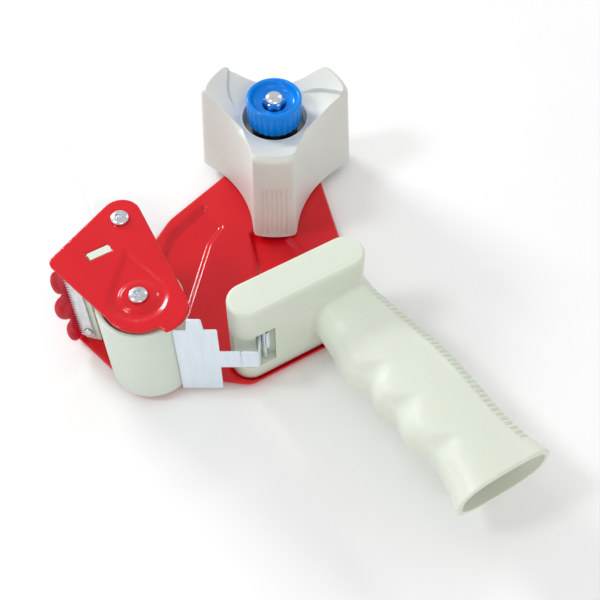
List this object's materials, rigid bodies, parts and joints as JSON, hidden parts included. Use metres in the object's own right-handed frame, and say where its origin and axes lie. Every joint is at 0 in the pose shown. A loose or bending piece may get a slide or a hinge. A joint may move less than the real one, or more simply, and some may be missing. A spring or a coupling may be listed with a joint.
{
  "type": "packing tape dispenser",
  "caption": "Handheld packing-tape dispenser: steel side plates, braked lobed hub, tape roller, toothed blade, rubber wiper, spring guide plate and a pistol grip.",
  "frame": {"origin": "centre of the hub spindle's rear head, in the plane the dispenser lies on", "axes": "+Z along the hub's axis towards the cheek plate, +X along the handle's block away from the roller, -Y along the grip"},
  "size_m": [0.1649, 0.2306, 0.0596],
  "materials": {
    "red_paint": "gloss enamel on steel sheet",
    "ivory_plastic": "moulded, soft satin",
    "grey_plastic": "moulded, satin",
    "blue_plastic": "moulded, glossy",
    "red_rubber": "smooth soft rubber",
    "zinc": "zinc plated sheet",
    "steel": "bright plated",
    "brushed_steel": "ground steel",
    "clear_film": "clear flexible film"
  },
  "bodies": {
    "frame": {"side_plate": "red_paint", "cheek_plate": "red_paint", "handle": "ivory_plastic", "handle_screw_1": "steel", "handle_screw_2": "steel", "hub_spindle": "steel", "friction_washer": "steel", "brake_spring": "brushed_steel", "roller_shaft": "steel", "roller_screw_cheek_side": "steel", "roller_screw_plate_side": "steel", "spacer_post": "steel", "post_screw_cheek_side": "steel", "post_screw_plate_side": "steel", "blade_holder": "ivory_plastic", "blade": "brushed_steel", "blade_rivet_1": "brushed_steel", "blade_rivet_2": "brushed_steel", "wiper": "red_rubber", "wiper_rivet_1": "brushed_steel", "wiper_rivet_2": "brushed_steel", "guide_pin": "steel"},
    "hub": {"tape_hub": "grey_plastic"},
    "brake": {"pressure_washer": "steel"},
    "knob": {"brake_knob": "blue_plastic", "knob_nut": "steel"},
    "roller": {"tape_roller": "ivory_plastic"},
    "guide": {"guide_plate": "zinc"},
    "flap": {"clear_flap": "clear_film"}
  },
  "joints": [
    {"name": "hub_spin", "type": "hinge", "parent": "frame", "child": "hub", "pos_m": [0, 0, 0.03], "axis": [0, 0, 1], "continuous": true},
    {"name": "brake_travel", "type": "slide", "parent": "frame", "child": "brake", "axis": [0, 0, 1], "range_m": [-0.00124, 0.00124], "deforming": ["brake_spring"]},
    {"name": "knob_turn", "type": "hinge", "parent": "brake", "child": "knob", "pos_m": [0, 0, 0.05], "axis": [0, 0, 1], "range_deg": [-360, 360]},
    {"name": "roller_spin", "type": "hinge", "parent": "frame", "child": "roller", "pos_m": [-0.0985, -0.0642, 0.0275], "axis": [0, 0, 1], "continuous": true},
    {"name": "guide_swing", "type": "hinge", "parent": "frame", "child": "guide", "pos_m": [-0.05744, -0.0908, 0.025], "axis": [0, 0, 1], "range_deg": [0, 15], "stiffness_Nm_per_rad": 0.02, "springref_deg": -11.46},
    {"name": "flap_flex", "type": "hinge", "parent": "frame", "child": "flap", "pos_m": [-0.1012, -0.034, 0.027], "axis": [0, 0, 1], "range_deg": [-12, 20], "stiffness_Nm_per_rad": 0.002}
  ],
  "couplings": [
    {"joint": "knob_turn", "follows": "brake_travel", "rad_per_m": 5026.6}
  ]
}
